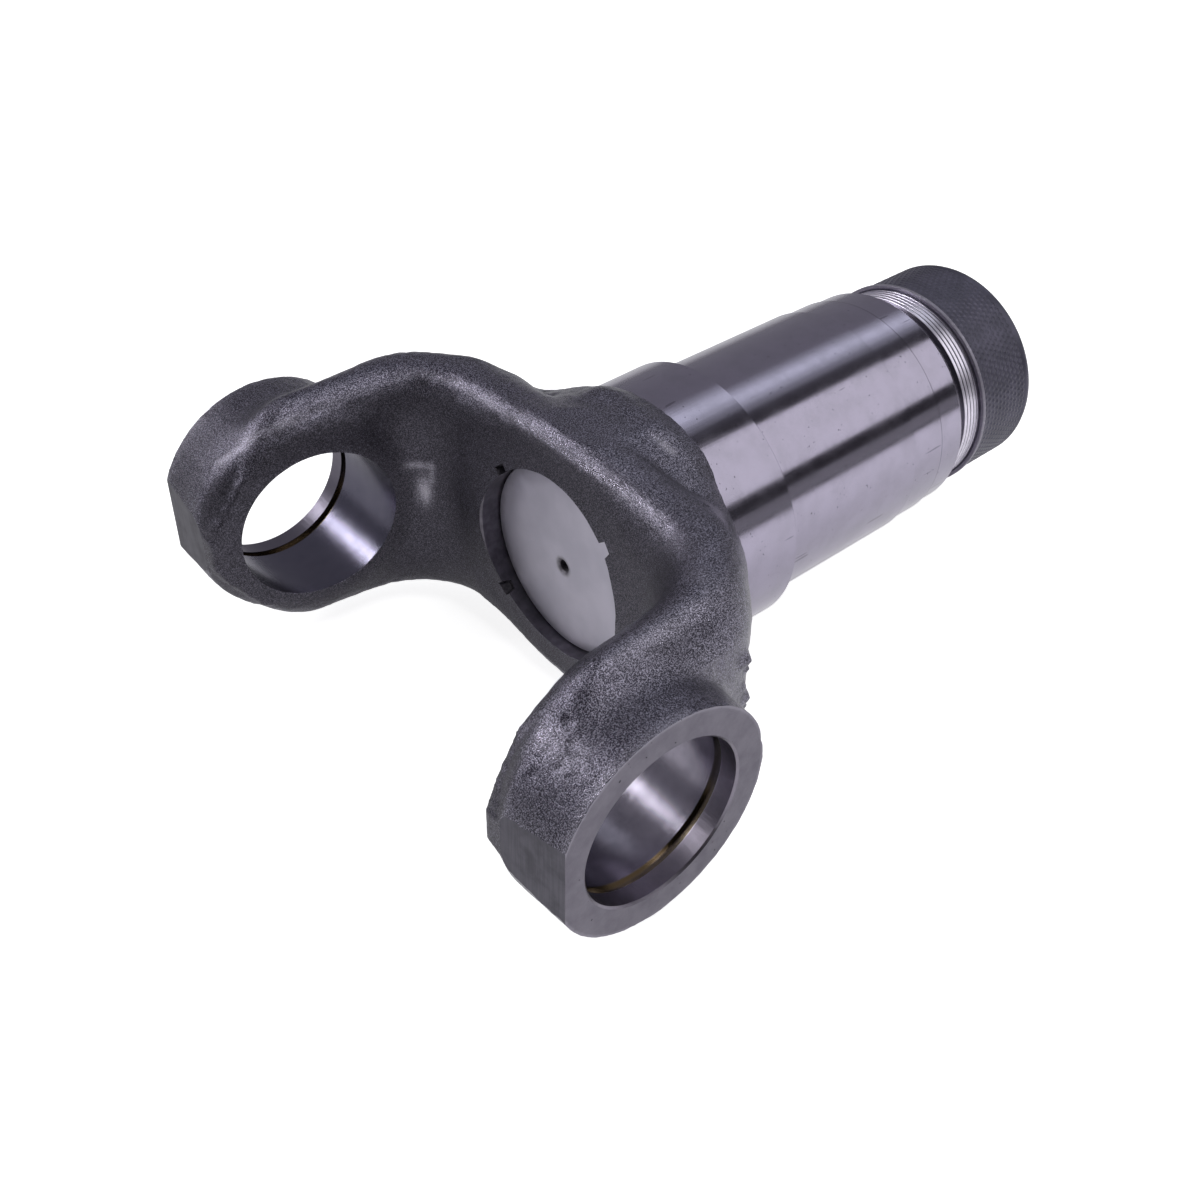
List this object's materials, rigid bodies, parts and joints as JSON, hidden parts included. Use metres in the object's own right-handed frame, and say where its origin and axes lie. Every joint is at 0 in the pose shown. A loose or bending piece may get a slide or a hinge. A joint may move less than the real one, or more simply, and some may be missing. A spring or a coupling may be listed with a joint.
{
  "type": "forged slip yoke",
  "caption": "Forged steel slip yoke for a driveshaft: a fork with bored ears for a universal joint on a turned, internally splined sleeve that ends in a screwed dust cap.",
  "frame": {"origin": "centre of the universal joint, halfway between the ears on the cross bores' axis", "axes": "+X along the shaft from the joint to the dust cap, +Y along the cross bores, +Z square to the forging's parting plane"},
  "size_m": [0.1565, 0.1134, 0.0554],
  "materials": {
    "forged_steel": "dark forging scale, with bores, ear faces and sleeve turned bright",
    "plug_steel": "plain pressed sheet steel",
    "cap_steel": "blackened, with a diagonal knurl",
    "washer_steel": "plain",
    "seal_rubber": "matt"
  },
  "bodies": {
    "root": {"yoke_forging": "forged_steel", "core_plug": "plug_steel", "dust_cap": "cap_steel", "cap_washer": "washer_steel", "cap_seal": "seal_rubber"}
  },
  "joints": []
}
